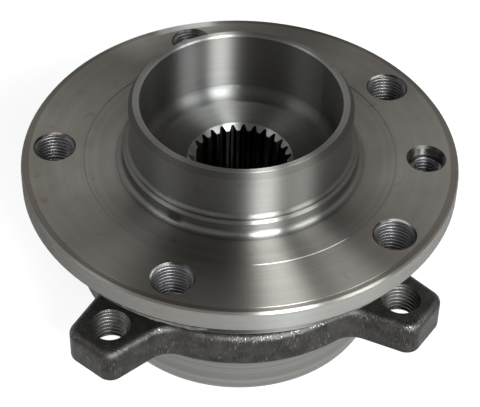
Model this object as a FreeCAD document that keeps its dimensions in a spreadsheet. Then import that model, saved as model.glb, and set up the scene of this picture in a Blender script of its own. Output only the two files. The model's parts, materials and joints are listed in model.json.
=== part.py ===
# Driven wheel hub bearing: a double row angular contact ball bearing whose rotating inner
# part is the wheel flange and whose fixed outer ring bolts to the steering knuckle.
#
# Frame: origin at the centre of the wheel bolt circle, on the wheel mounting face.
# +Z points outboard along the spin axis, towards the wheel. Depths are measured from the
# mounting face towards the knuckle, heights from the same face towards the wheel.
import FreeCAD
import Part
import math
import os
import Sketcher

os.makedirs("parts", exist_ok=True)
doc = FreeCAD.newDocument("wheel_hub_bearing")

# Driving dimensions, in millimetres and degrees

SIZES = {
    # wheel bolt holes, thread outside diameter
    "wheel_bolt_circle_radius": 56.0,
    "wheel_bolt_count": 5,
    "wheel_bolt_radius": 6.0,
    "wheel_bolt_chamfer": 0.45,
    # wheel flange
    "flange_rim_wall": 3.8,
    "flange_edge_height": 7.0,
    "flange_slope_height": 5.0,
    "flange_slope_width": 3.0,
    "flange_chamfer_width": 0.75,
    "flange_chamfer_height": 1.25,
    "flange_edge_break": 0.4,
    "land_width": 2.3,
    "land_depth": 0.12,
    "relief_margin": 2.9,
    "relief_depth": 0.2,
    "hub_turn": 26.5,
    # brake disc locating screw hole
    "screw_turn": -36.0,
    "screw_radius": 4.0,
    "screw_head_clearance": 1.3,
    "screw_counterbore_depth": 3.2,
    "screw_chamfer": 0.7,
    # pilots for the wheel and the brake disc
    "pilot_radius": 33.25,
    "pilot_height": 21.1,
    "pilot_lead_width": 1.35,
    "pilot_lead_height": 1.8,
    "pilot_root_fillet": 1.25,
    "pilot_wall": 3.25,
    "rim_edge_break": 0.4,
    "disc_pilot_step": 2.15,
    "disc_pilot_height": 4.9,
    "disc_pilot_chamfer": 0.8,
    "disc_pilot_root_fillet": 1.7,
    # cup inside the pilot and splined bore
    "cup_floor_depth": 2.0,
    "cup_fillet": 3.5,
    "spline_count": 28,
    "spline_minor_radius": 14.35,
    "spline_tooth_height": 1.3,
    "spline_root_half_width": 0.35,
    "spline_mouth_half_width": 1.28,
    "spline_tool_reach": 0.35,
    "spline_lead": 0.45,
    "spline_exit": 1.35,
    # hub barrel behind the flange
    "neck_step": 2.0,
    "neck_margin": 0.6,
    "neck_slope_width": 3.0,
    "seal_land_fillet": 5.0,
    # ball rows
    "ball_radius": 6.35,
    "ball_count": 14,
    "pitch_radius": 33.0,
    "half_row_spacing": 9.25,
    "race_clearance": 0.2,
    # raceway shoulders, counted from the pitch circle or from the balls' edge
    "inner_land_drop": 2.0,
    "inner_groove_lip": 0.55,
    "outer_shoulder_rise": 2.6,
    "outer_run_lip": 0.15,
    # inner ring and the collar that holds it
    "ring_wall": 4.7,
    "ring_end_recess": 1.2,
    "ring_corner": 2.0,
    "ring_edge": 0.6,
    "collar_lap": 4.8,
    "collar_height": 5.5,
    "collar_fillet": 3.0,
    "collar_edge_fillet": 1.0,
    # outer ring
    "flange_gap": 2.2,
    "seal_seat_step": 0.8,
    "seal_seat_length": 4.3,
    "seal_seat_lead": 0.5,
    "outboard_seal_gap": 0.15,
    "inboard_seal_gap": 1.05,
    "barrel_wall": 4.0,
    "barrel_edge": 0.8,
    "spigot_wall": 4.5,
    "spigot_fit_length": 11.6,
    "spigot_relief": 0.15,
    "spigot_lead_height": 2.2,
    "spigot_lead_width": 0.6,
    # knuckle flange and its ears
    "ear_drop": 11.3,
    "ear_thickness": 11.7,
    "ear_disc_width": 6.0,
    "ear_bolt_radius": 59.1,
    "ear_turn": 42.6,
    "ear_tip_wall": 4.1,
    "ear_tip_half_width": 8.7,
    "ear_root_inset": 5.0,
    "ear_root_half_width": 13.2,
    "ear_corner_fillet": 4.5,
    "ear_root_fillet": 8.0,
    "ear_top_fillet": 2.4,
    "ear_bottom_fillet": 1.2,
    "knuckle_bolt_radius": 6.0,
    "knuckle_bolt_lead": 0.45,
    # ball cages
    "cage_inner_drop": 2.6,
    "cage_outer_rise": 1.6,
    "cage_gap": 0.85,
    "cage_finger_reach": 2.4,
    # seals and encoder
    "case_wall": 0.8,
    "case_recess": 0.2,
    "outboard_case_gap": 3.0,
    "inboard_case_gap": 2.4,
    "lip_clearance": 0.2,
    "lip_width": 0.5,
    "outboard_lip_set": 1.4,
    "outboard_lip_root_width": 1.1,
    "outboard_lip_flare": 1.9,
    "inboard_lip_root_width": 1.0,
    "slinger_gap": 0.3,
    "encoder_step": 1.6,
    "encoder_thickness": 0.9,
}

# Sizes and places that follow from the ones above

FOLLOWING = {
    "flange_radius": "wheel_bolt_circle_radius + wheel_bolt_radius + flange_rim_wall",
    "relief_radius": "wheel_bolt_circle_radius - wheel_bolt_radius - relief_margin",
    "neck_ring_radius": "wheel_bolt_circle_radius - wheel_bolt_radius - neck_margin",
    "counterbore_radius": "screw_radius + screw_head_clearance",
    "disc_pilot_radius": "pilot_radius + disc_pilot_step",
    "cup_radius": "pilot_radius - pilot_wall",
    "spline_major_radius": "spline_minor_radius + spline_tooth_height",
    "spline_lead_radius": "spline_major_radius + spline_lead",
    "spline_exit_radius": "spline_major_radius + spline_exit",
    "race_radius": "ball_radius + race_clearance",
    "inner_land_radius": "pitch_radius - inner_land_drop",
    "inner_core_radius": "pitch_radius - ball_radius + inner_groove_lip",
    "ring_seat_radius": "inner_core_radius - ring_wall",
    "collar_radius": "ring_seat_radius + collar_lap",
    "outer_shoulder_radius": "pitch_radius + outer_shoulder_rise",
    "outer_run_radius": "pitch_radius + ball_radius - outer_run_lip",
    "seal_seat_radius": "outer_run_radius + seal_seat_step",
    "barrel_radius": "seal_seat_radius + barrel_wall",
    "spigot_radius": "seal_seat_radius + spigot_wall",
    "ear_disc_radius": "spigot_radius + ear_disc_width",
    "ear_root_radius": "ear_disc_radius - ear_root_inset",
    "ear_tip_radius": "ear_bolt_radius + knuckle_bolt_radius + ear_tip_wall",
    "cage_inner_radius": "pitch_radius - cage_inner_drop",
    "cage_outer_radius": "pitch_radius + cage_outer_rise",
    "cage_back_reach": "half_row_spacing - cage_gap",
    "outboard_case_radius": "inner_land_radius + outboard_case_gap",
    "inboard_case_radius": "inner_land_radius + case_wall + inboard_case_gap",
    "outboard_lip_radius": "outboard_case_radius + outboard_lip_set",
    "slinger_rim_radius": "seal_seat_radius - case_wall - slinger_gap",
    "encoder_inner_radius": "inner_land_radius + encoder_step",
    # depths, from the wheel mounting face inboard
    "flange_depth": "flange_edge_height + flange_slope_height",
    "neck_depth": "flange_depth + neck_step",
    "outer_top_depth": "neck_depth + flange_gap",
    "outboard_seat_depth": "outer_top_depth + seal_seat_length",
    "outboard_row_depth": "outboard_seat_depth + outboard_seal_gap + ball_radius",
    "ring_joint_depth": "outboard_row_depth + half_row_spacing",
    "inboard_row_depth": "ring_joint_depth + half_row_spacing",
    "inboard_seat_depth": "inboard_row_depth + ball_radius + inboard_seal_gap",
    "outer_end_depth": "inboard_seat_depth + seal_seat_length",
    "ring_end_depth": "outer_end_depth - ring_end_recess",
    "collar_end_depth": "outer_end_depth - ring_end_recess + collar_height",
    "ear_top_depth": "outer_top_depth + ear_drop",
    "ear_bottom_depth": "ear_top_depth + ear_thickness",
    "spigot_step_depth": "ear_bottom_depth + spigot_fit_length",
}

sheet = doc.addObject("Spreadsheet::Sheet", "Sizes")
for row, (alias, number) in enumerate(SIZES.items(), 1):
    sheet.set("A%d" % row, alias)
    sheet.set("B%d" % row, str(number))
    sheet.setAlias("B%d" % row, alias)
doc.recompute()


def terms(formula, sign=1):
    """The signed cells that a plain sum of names comes down to."""
    found = []
    own = sign
    for word in formula.split():
        if word in ("+", "-"):
            own = sign if word == "+" else -sign
        elif word in FOLLOWING:
            found += terms(FOLLOWING[word], own)
        elif word != "0":
            found.append((own, word))
    return found


def measure(formula):
    """The value of a sum such as 'pilot_radius - pilot_lead_width'."""
    return sum(sign * float(sheet.get(alias)) for sign, alias in terms(formula))


def cells(formula):
    """The same sum written so that a property or a constraint can be bound to it."""
    words = ["%s Sizes.%s" % ("+" if sign > 0 else "-", alias) for sign, alias in terms(formula)]
    return " ".join(["0"] + words)


# Feature helpers

def new_body(label, material_note):
    body = doc.addObject("PartDesign::Body", label)
    body.Label = label
    body.Placement = FreeCAD.Placement()
    body.addProperty("App::PropertyString", "Material", "Piece", "what the piece is made of")
    body.Material = material_note
    return body


def origin_plane(body, role):
    for feature in body.Origin.OriginFeatures:
        if feature.Role == role:
            return feature
    raise RuntimeError("no plane " + role)


def new_sketch(body, name, role):
    sketch = body.newObject("Sketcher::SketchObject", name)
    sketch.AttachmentSupport = (origin_plane(body, role), "")
    sketch.MapMode = "FlatFace"
    return sketch


def pin_point(sketch, geometry, corner, across, up):
    """Bind one point of a sketch to two sums of cells."""
    for kind, formula in (("DistanceX", across), ("DistanceY", up)):
        value = measure(formula)
        index = sketch.addConstraint(
            Sketcher.Constraint(kind, -1, 1, geometry, corner, value))
        sketch.setExpression("Constraints[%d]" % index, cells(formula))


def add_outline(sketch, corners):
    """A closed outline of straight edges; every corner is bound to the sheet."""
    points = [FreeCAD.Vector(measure(a), measure(b), 0) for a, b in corners]
    first = sketch.GeometryCount
    count = len(points)
    for i in range(count):
        sketch.addGeometry(Part.LineSegment(points[i], points[(i + 1) % count]), False)
    for i in range(count):
        following = first + (i + 1) % count
        sketch.addConstraint(Sketcher.Constraint("Coincident", first + i, 2, following, 1))
        pin_point(sketch, first + i, 1, corners[i][0], corners[i][1])


def add_circle(sketch, across, up, radius):
    centre = FreeCAD.Vector(measure(across), measure(up), 0)
    normal = FreeCAD.Vector(0, 0, 1)
    index = sketch.addGeometry(Part.Circle(centre, normal, measure(radius)), False)
    pin_point(sketch, index, 3, across, up)
    number = sketch.addConstraint(Sketcher.Constraint("Radius", index, measure(radius)))
    sketch.setExpression("Constraints[%d]" % number, cells(radius))


def revolve_outline(body, name, corners):
    """Turn an outline of (radius, height) corners about the spin axis."""
    sketch = new_sketch(body, name + "_outline", "XZ_Plane")
    add_outline(sketch, corners)
    turned = body.newObject("PartDesign::Revolution", name)
    turned.Profile = sketch
    turned.ReferenceAxis = (sketch, ["V_Axis"])
    turned.Angle = 360
    doc.recompute()
    return turned


def cut_raceway(body, name, row_depth):
    """A round groove for one ball row, turned about the spin axis."""
    before = body.Shape.Volume
    sketch = new_sketch(body, name + "_section", "XZ_Plane")
    add_circle(sketch, "pitch_radius", "- " + row_depth, "race_radius")
    groove = body.newObject("PartDesign::Groove", name)
    groove.Profile = sketch
    groove.ReferenceAxis = (sketch, ["V_Axis"])
    groove.Angle = 360
    doc.recompute()
    if body.Shape.Volume >= before:
        raise RuntimeError(name + " cut nothing")
    return groove


def cut_pocket(body, name, sketch, depth=None):
    """Cut a sketch downwards, through everything or to a depth."""
    before = body.Shape.Volume
    pocket = body.newObject("PartDesign::Pocket", name)
    pocket.Profile = sketch
    if depth is None:
        pocket.Type = "ThroughAll"
    else:
        pocket.Type = "Length"
        pocket.Length = measure(depth)
        pocket.setExpression("Length", cells(depth))
    doc.recompute()
    if body.Shape.Volume >= before:
        raise RuntimeError(name + " cut nothing")
    return pocket


def polar_pattern(body, name, feature, count):
    pattern = body.newObject("PartDesign::PolarPattern", name)
    pattern.Originals = [feature]
    pattern.Axis = (origin_axis(body), [""])
    pattern.Angle = 360
    pattern.Occurrences = int(measure(count))
    pattern.setExpression("Occurrences", "Sizes." + count)
    body.Tip = pattern
    doc.recompute()
    return pattern


def origin_axis(body):
    return origin_plane(body, "Z_Axis")


def round_edges(shape, radius, height):
    """Names of the full or part circles of one radius at one height."""
    names = []
    for number, edge in enumerate(shape.Edges, 1):
        curve = edge.Curve
        if curve.TypeId != "Part::GeomCircle":
            continue
        if abs(curve.Radius - radius) < 0.001 and abs(curve.Center.z - height) < 0.001:
            names.append("Edge%d" % number)
    return names


def upright_edges(shape, near, far):
    """Names of the straight edges along Z that stand between two distances from the axis."""
    names = []
    for number, edge in enumerate(shape.Edges, 1):
        start = edge.Vertexes[0].Point
        end = edge.Vertexes[-1].Point
        if math.hypot(start.x - end.x, start.y - end.y) > 0.001:
            continue
        if edge.Curve.TypeId != "Part::GeomLine":
            continue
        if near <= math.hypot(start.x, start.y) <= far:
            names.append("Edge%d" % number)
    return names


def level_edges(shape, height, beyond):
    """Names of the edges that lie at one height and outside one distance from the axis."""
    names = []
    for number, edge in enumerate(shape.Edges, 1):
        box = edge.BoundBox
        if abs(box.ZMin - height) > 0.001 or abs(box.ZMax - height) > 0.001:
            continue
        points = edge.discretize(5)
        if min(math.hypot(p.x, p.y) for p in points) > beyond:
            names.append("Edge%d" % number)
    return names


def dress(body, kind, name, edges, alias):
    """A fillet or a chamfer of one sheet size on named edges of the body's last feature."""
    if not edges:
        raise RuntimeError(name + " found no edge")
    base = body.Tip
    feature = body.newObject("PartDesign::" + kind, name)
    feature.Base = (base, edges)
    attribute = "Radius" if kind == "Fillet" else "Size"
    setattr(feature, attribute, measure(alias))
    feature.setExpression(attribute, "Sizes." + alias)
    body.Tip = feature
    doc.recompute()
    return feature


# Wheel hub: flange, pilots, splined bore, outboard raceway and formed collar

def make_wheel_hub():
    body = new_body("wheel_hub", "forged and induction hardened steel")
    revolve_outline(body, "hub_turning", [
        ("spline_minor_radius", "- cup_floor_depth - spline_lead - spline_tooth_height"),
        ("spline_lead_radius", "- cup_floor_depth"),
        ("cup_radius", "- cup_floor_depth"),
        ("cup_radius", "pilot_height - rim_edge_break"),
        ("cup_radius + rim_edge_break", "pilot_height"),
        ("pilot_radius - pilot_lead_width", "pilot_height"),
        ("pilot_radius", "pilot_height - pilot_lead_height"),
        ("pilot_radius", "disc_pilot_height"),
        ("disc_pilot_radius - disc_pilot_chamfer", "disc_pilot_height"),
        ("disc_pilot_radius", "disc_pilot_height - disc_pilot_chamfer"),
        ("disc_pilot_radius", "- relief_depth"),
        ("relief_radius - relief_depth", "- relief_depth"),
        ("relief_radius", "0"),
        ("flange_radius - land_width", "0"),
        ("flange_radius - land_width + land_depth", "- land_depth"),
        ("flange_radius - flange_chamfer_width", "- land_depth"),
        ("flange_radius", "- flange_chamfer_height"),
        ("flange_radius", "- flange_edge_height + flange_edge_break"),
        ("flange_radius - flange_edge_break", "- flange_edge_height"),
        ("flange_radius - flange_edge_break - flange_slope_width", "- flange_depth"),
        ("neck_ring_radius", "- flange_depth"),
        ("neck_ring_radius - neck_slope_width", "- neck_depth"),
        ("inner_land_radius", "- neck_depth"),
        ("inner_land_radius", "- outboard_row_depth"),
        ("inner_core_radius", "- outboard_row_depth"),
        ("inner_core_radius", "- ring_joint_depth"),
        ("ring_seat_radius", "- ring_joint_depth"),
        ("ring_seat_radius", "- ring_end_depth + ring_corner"),
        ("ring_seat_radius + ring_corner", "- ring_end_depth"),
        ("collar_radius", "- ring_end_depth"),
        ("collar_radius", "- collar_end_depth"),
        ("spline_exit_radius", "- collar_end_depth"),
        ("spline_minor_radius", "- collar_end_depth + spline_exit + spline_tooth_height"),
    ])
    floor = measure("- cup_floor_depth")
    face = measure("- relief_depth")
    dress(body, "Fillet", "cup_floor_fillet",
          round_edges(body.Shape, measure("cup_radius"), floor), "cup_fillet")
    dress(body, "Fillet", "pilot_root",
          round_edges(body.Shape, measure("pilot_radius"), measure("disc_pilot_height")),
          "pilot_root_fillet")
    dress(body, "Fillet", "disc_pilot_root",
          round_edges(body.Shape, measure("disc_pilot_radius"), face),
          "disc_pilot_root_fillet")
    dress(body, "Fillet", "seal_land_root",
          round_edges(body.Shape, measure("inner_land_radius"), measure("- neck_depth")),
          "seal_land_fillet")
    dress(body, "Fillet", "collar_round",
          round_edges(body.Shape, measure("collar_radius"), measure("- collar_end_depth")),
          "collar_fillet")
    dress(body, "Fillet", "collar_rim",
          round_edges(body.Shape, measure("collar_radius"), measure("- ring_end_depth")),
          "collar_edge_fillet")
    cut_raceway(body, "outboard_inner_raceway", "outboard_row_depth")

    spline = new_sketch(body, "spline_space", "XY_Plane")
    spline.setExpression("AttachmentOffset.Base.z", cells("- cup_floor_depth"))
    add_outline(spline, [
        ("spline_minor_radius - spline_tool_reach", "- spline_mouth_half_width"),
        ("spline_major_radius", "- spline_root_half_width"),
        ("spline_major_radius", "spline_root_half_width"),
        ("spline_minor_radius - spline_tool_reach", "spline_mouth_half_width"),
    ])
    space = cut_pocket(body, "spline_tooth_space", spline)
    polar_pattern(body, "spline_spaces", space, "spline_count")

    bolt = new_sketch(body, "wheel_bolt_place", "XY_Plane")
    add_circle(bolt, "wheel_bolt_circle_radius", "0", "wheel_bolt_radius")
    hole = cut_pocket(body, "wheel_bolt_hole", bolt)
    polar_pattern(body, "wheel_bolt_holes", hole, "wheel_bolt_count")
    dress(body, "Chamfer", "wheel_bolt_mouths",
          round_edges(body.Shape, measure("wheel_bolt_radius"), 0), "wheel_bolt_chamfer")

    place = new_sketch(body, "screw_counterbore_place", "XY_Plane")
    place.setExpression("AttachmentOffset.Rotation.Angle", "Sizes.screw_turn")
    add_circle(place, "wheel_bolt_circle_radius", "0", "counterbore_radius")
    cut_pocket(body, "screw_counterbore", place, "screw_counterbore_depth")
    thread = new_sketch(body, "screw_place", "XY_Plane")
    thread.setExpression("AttachmentOffset.Rotation.Angle", "Sizes.screw_turn")
    add_circle(thread, "wheel_bolt_circle_radius", "0", "screw_radius")
    cut_pocket(body, "screw_hole", thread)
    dress(body, "Chamfer", "screw_mouth",
          round_edges(body.Shape, measure("counterbore_radius"), 0), "screw_chamfer")

    body.setExpression("Placement.Rotation.Angle", "Sizes.hub_turn")
    return body


# Inner ring of the inboard row, pressed on the hub and held by the collar

def make_inner_ring():
    body = new_body("inner_ring", "through hardened bearing steel")
    revolve_outline(body, "inner_ring_turning", [
        ("ring_seat_radius", "- ring_joint_depth - ring_edge"),
        ("ring_seat_radius + ring_edge", "- ring_joint_depth"),
        ("inner_core_radius", "- ring_joint_depth"),
        ("inner_core_radius", "- inboard_row_depth"),
        ("inner_land_radius", "- inboard_row_depth"),
        ("inner_land_radius", "- ring_end_depth + ring_edge"),
        ("inner_land_radius - ring_edge", "- ring_end_depth"),
        ("ring_seat_radius + ring_corner", "- ring_end_depth"),
        ("ring_seat_radius", "- ring_end_depth + ring_corner"),
    ])
    cut_raceway(body, "inboard_inner_raceway", "inboard_row_depth")
    return body


# Outer ring: two raceways, seal seats, knuckle flange with four ears, knuckle spigot

def make_outer_ring():
    body = new_body("outer_ring", "forged bearing steel, flange left as forged")
    revolve_outline(body, "outer_ring_turning", [
        ("outer_shoulder_radius", "- outboard_row_depth"),
        ("outer_run_radius", "- outboard_row_depth"),
        ("outer_run_radius", "- outboard_seat_depth"),
        ("seal_seat_radius", "- outboard_seat_depth"),
        ("seal_seat_radius", "- outer_top_depth - seal_seat_lead"),
        ("seal_seat_radius + seal_seat_lead", "- outer_top_depth"),
        ("barrel_radius - barrel_edge", "- outer_top_depth"),
        ("barrel_radius", "- outer_top_depth - barrel_edge"),
        ("barrel_radius", "- ear_top_depth"),
        ("ear_disc_radius", "- ear_top_depth"),
        ("ear_disc_radius", "- ear_bottom_depth"),
        ("spigot_radius", "- ear_bottom_depth"),
        ("spigot_radius", "- spigot_step_depth"),
        ("spigot_radius - spigot_relief", "- spigot_step_depth - spigot_relief"),
        ("spigot_radius - spigot_relief", "- outer_end_depth + spigot_lead_height"),
        ("spigot_radius - spigot_lead_width", "- outer_end_depth"),
        ("seal_seat_radius + seal_seat_lead", "- outer_end_depth"),
        ("seal_seat_radius", "- outer_end_depth + seal_seat_lead"),
        ("seal_seat_radius", "- inboard_seat_depth"),
        ("outer_run_radius", "- inboard_seat_depth"),
        ("outer_run_radius", "- inboard_row_depth"),
        ("outer_shoulder_radius", "- inboard_row_depth"),
    ])
    cut_raceway(body, "outboard_outer_raceway", "outboard_row_depth")
    cut_raceway(body, "inboard_outer_raceway", "inboard_row_depth")
    ear_turns = ["Sizes.ear_turn", "180 - Sizes.ear_turn",
                 "180 + Sizes.ear_turn", "0 - Sizes.ear_turn"]
    for number, turn in enumerate(ear_turns, 1):
        sketch = new_sketch(body, "ear_%d_outline" % number, "XY_Plane")
        sketch.setExpression("AttachmentOffset.Base.z", cells("- ear_bottom_depth"))
        sketch.setExpression("AttachmentOffset.Rotation.Angle", turn)
        add_outline(sketch, [
            ("ear_root_radius", "- ear_root_half_width"),
            ("ear_tip_radius", "- ear_tip_half_width"),
            ("ear_tip_radius", "ear_tip_half_width"),
            ("ear_root_radius", "ear_root_half_width"),
        ])
        pad = body.newObject("PartDesign::Pad", "ear_%d" % number)
        pad.Profile = sketch
        pad.Length = measure("ear_thickness")
        pad.setExpression("Length", cells("ear_thickness"))
        doc.recompute()

    disc = measure("ear_disc_radius")
    hole_distance = measure("ear_bolt_radius")
    dress(body, "Fillet", "ear_roots",
          upright_edges(body.Shape, disc - 0.01, disc + 0.01), "ear_root_fillet")
    dress(body, "Fillet", "ear_corners",
          upright_edges(body.Shape, hole_distance, 2 * hole_distance), "ear_corner_fillet")
    dress(body, "Fillet", "ear_top_round",
          level_edges(body.Shape, measure("- ear_top_depth"), measure("barrel_radius") + 0.01),
          "ear_top_fillet")
    dress(body, "Fillet", "ear_bottom_round",
          level_edges(body.Shape, measure("- ear_bottom_depth"),
                      measure("spigot_radius") + 0.01),
          "ear_bottom_fillet")

    for number, turn in enumerate(ear_turns, 1):
        place = new_sketch(body, "knuckle_bolt_%d_place" % number, "XY_Plane")
        place.setExpression("AttachmentOffset.Base.z", cells("- ear_top_depth"))
        place.setExpression("AttachmentOffset.Rotation.Angle", turn)
        add_circle(place, "ear_bolt_radius", "0", "knuckle_bolt_radius")
        cut_pocket(body, "knuckle_bolt_hole_%d" % number, place)
    dress(body, "Chamfer", "knuckle_bolt_leads",
          round_edges(body.Shape, measure("knuckle_bolt_radius"),
                      measure("- ear_bottom_depth")),
          "knuckle_bolt_lead")
    return body


# Balls: one row of equal spheres, centres on the pitch circle

def make_ball_row(row):
    for number in range(1, int(measure("ball_count")) + 1):
        name = "%s_ball_%02d" % (row, number)
        turn = "(360 / Sizes.ball_count * %d)" % (number - 1)
        ball = doc.addObject("Part::Sphere", name)
        ball.Label = name
        ball.setExpression("Radius", "Sizes.ball_radius")
        ball.setExpression("Placement.Base.x", "Sizes.pitch_radius * cos(%s)" % turn)
        ball.setExpression("Placement.Base.y", "Sizes.pitch_radius * sin(%s)" % turn)
        ball.setExpression("Placement.Base.z", cells("- %s_row_depth" % row))
    doc.recompute()


# Cage: a snap cage, closed on the side of the other row, with a round pocket for each ball

def make_cage(row, back_side):
    """back_side is -1 where the closed back lies deeper than the balls, +1 where it does not."""
    body = new_body(row + "_cage", "glass filled polyamide")
    row_depth = row + "_row_depth"
    plus, minus = ("+", "-") if back_side > 0 else ("-", "+")
    back = "- %s %s cage_back_reach" % (row_depth, plus)
    fingers = "- %s %s cage_finger_reach" % (row_depth, minus)
    revolve_outline(body, row + "_cage_ring", [
        ("cage_inner_radius", back),
        ("cage_outer_radius", back),
        ("cage_outer_radius", fingers),
        ("cage_inner_radius", fingers),
    ])
    sketch = new_sketch(body, row + "_pocket_section", "XZ_Plane")
    centre = FreeCAD.Vector(measure("pitch_radius"), measure("- " + row_depth), 0)
    reach = measure("race_radius")
    normal = FreeCAD.Vector(0, 0, 1)
    arc = Part.ArcOfCircle(Part.Circle(centre, normal, reach), -math.pi / 2, math.pi / 2)
    sketch.addGeometry(arc, False)
    top = centre + FreeCAD.Vector(0, reach, 0)
    bottom = centre - FreeCAD.Vector(0, reach, 0)
    sketch.addGeometry(Part.LineSegment(top, bottom), False)
    sketch.addConstraint(Sketcher.Constraint("Coincident", 0, 2, 1, 1))
    sketch.addConstraint(Sketcher.Constraint("Coincident", 0, 1, 1, 2))
    sketch.addConstraint(Sketcher.Constraint("Vertical", 1))
    sketch.addConstraint(Sketcher.Constraint("PointOnObject", 0, 3, 1))
    pin_point(sketch, 0, 3, "pitch_radius", "- " + row_depth)
    number = sketch.addConstraint(Sketcher.Constraint("Radius", 0, reach))
    sketch.setExpression("Constraints[%d]" % number, cells("race_radius"))
    before = body.Shape.Volume
    pocket = body.newObject("PartDesign::Groove", row + "_pocket")
    pocket.Profile = sketch
    pocket.ReferenceAxis = (sketch, ["Edge2"])
    pocket.Angle = 360
    doc.recompute()
    if body.Shape.Volume >= before:
        raise RuntimeError(row + " cage pocket cut nothing")
    polar_pattern(body, row + "_pockets", pocket, "ball_count")
    return body


# Outboard seal: pressed steel case with a rubber body and two lips that run on the hub

def make_outboard_seal():
    case = new_body("outboard_seal_case", "pressed steel")
    top = "- outer_top_depth - case_recess"
    floor = "- outboard_seat_depth + case_recess"
    revolve_outline(case, "outboard_case_section", [
        ("seal_seat_radius", top),
        ("seal_seat_radius", floor),
        ("outboard_case_radius", floor),
        ("outboard_case_radius", floor + " + case_wall"),
        ("seal_seat_radius - case_wall", floor + " + case_wall"),
        ("seal_seat_radius - case_wall", top),
    ])
    lip = new_body("outboard_seal_lip", "nitrile rubber")
    face = "- neck_depth - lip_clearance"
    revolve_outline(lip, "outboard_lip_section", [
        ("outboard_case_radius", floor),
        ("outboard_case_radius", floor + " + case_wall"),
        ("outboard_lip_radius + outboard_lip_root_width", floor + " + case_wall"),
        ("outboard_lip_radius + outboard_lip_root_width + outboard_lip_flare", face),
        ("outboard_lip_radius + outboard_lip_flare + lip_width", face),
        ("outboard_lip_radius", floor + " + case_wall + lip_width"),
        ("outboard_case_radius - outboard_lip_root_width",
         floor + " + case_wall + lip_width"),
        ("inner_land_radius + lip_clearance", floor + " + case_wall"),
        ("inner_land_radius + lip_clearance", floor + " + case_wall - lip_width"),
        ("outboard_case_radius - outboard_lip_root_width", floor),
    ])
    return case, lip


# Inboard cassette seal: case in the outer ring, slinger on the inner ring, rubber lips
# between them, and the magnetised encoder ring on the slinger's outer face

def make_inboard_seal():
    outside = "- outer_end_depth + case_recess"
    inside = "- inboard_seat_depth - case_recess"
    case = new_body("inboard_seal_case", "pressed steel")
    revolve_outline(case, "inboard_case_section", [
        ("seal_seat_radius", outside),
        ("seal_seat_radius", inside),
        ("inboard_case_radius", inside),
        ("inboard_case_radius", inside + " - case_wall"),
        ("seal_seat_radius - case_wall", inside + " - case_wall"),
        ("seal_seat_radius - case_wall", outside),
    ])
    slinger = new_body("inboard_slinger", "stainless steel")
    face = outside + " + encoder_thickness"
    revolve_outline(slinger, "slinger_section", [
        ("inner_land_radius", inside + " - case_wall"),
        ("inner_land_radius", face),
        ("slinger_rim_radius", face),
        ("slinger_rim_radius", face + " + case_wall"),
        ("inner_land_radius + case_wall", face + " + case_wall"),
        ("inner_land_radius + case_wall", inside + " - case_wall"),
    ])
    lip = new_body("inboard_seal_lip", "nitrile rubber")
    revolve_outline(lip, "inboard_lip_section", [
        ("inboard_case_radius", inside),
        ("inboard_case_radius - inboard_lip_root_width", inside),
        ("inner_land_radius + case_wall + lip_clearance", inside + " - case_wall"),
        ("inner_land_radius + case_wall + lip_clearance", inside + " - case_wall - lip_width"),
        ("inboard_case_radius", inside + " - case_wall - lip_width"),
        ("inboard_case_radius + inboard_lip_root_width + lip_width",
         face + " + case_wall + lip_clearance"),
        ("inboard_case_radius + inboard_lip_root_width + inboard_lip_root_width",
         face + " + case_wall + lip_clearance"),
        ("inboard_case_radius + inboard_lip_root_width", inside + " - case_wall"),
        ("inboard_case_radius", inside + " - case_wall"),
    ])
    encoder = new_body("encoder_ring", "magnetised rubber")
    revolve_outline(encoder, "encoder_section", [
        ("encoder_inner_radius", outside),
        ("slinger_rim_radius", outside),
        ("slinger_rim_radius", face),
        ("encoder_inner_radius", face),
    ])
    return case, slinger, lip, encoder


make_wheel_hub()
make_inner_ring()
make_outer_ring()
make_ball_row("outboard")
make_ball_row("inboard")
make_cage("outboard", -1)
make_cage("inboard", 1)
make_outboard_seal()
make_inboard_seal()
doc.recompute()

# Every feature has to be sound before anything is written

for thing in doc.Objects:
    if "Invalid" in thing.State or "Error" in thing.State:
        raise RuntimeError("%s did not build: %s" % (thing.Name, thing.State))

pieces = [o for o in doc.Objects
          if o.TypeId == "PartDesign::Body" or o.TypeId == "Part::Sphere"]
for piece in pieces:
    if piece.Shape.isNull() or not piece.Shape.isValid():
        raise RuntimeError(piece.Label + " is not a sound solid")
    if len(piece.Shape.Solids) != 1:
        raise RuntimeError("%s has %d solids" % (piece.Label, len(piece.Shape.Solids)))
for piece in pieces:
    piece.Shape.exportStep("parts/%s.step" % piece.Label)
    print("%-22s %10.1f mm3" % (piece.Label, piece.Shape.Volume))
print(len(pieces), "pieces")
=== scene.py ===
# Looks of a driven wheel hub bearing: turned hub, forged outer ring, cut threads, seals, balls.
# Metres, +Z outboard along the spin axis, wheel mounting face at z = 0.
import bpy
import json
import math
import random
from mathutils import Matrix, Vector

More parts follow.
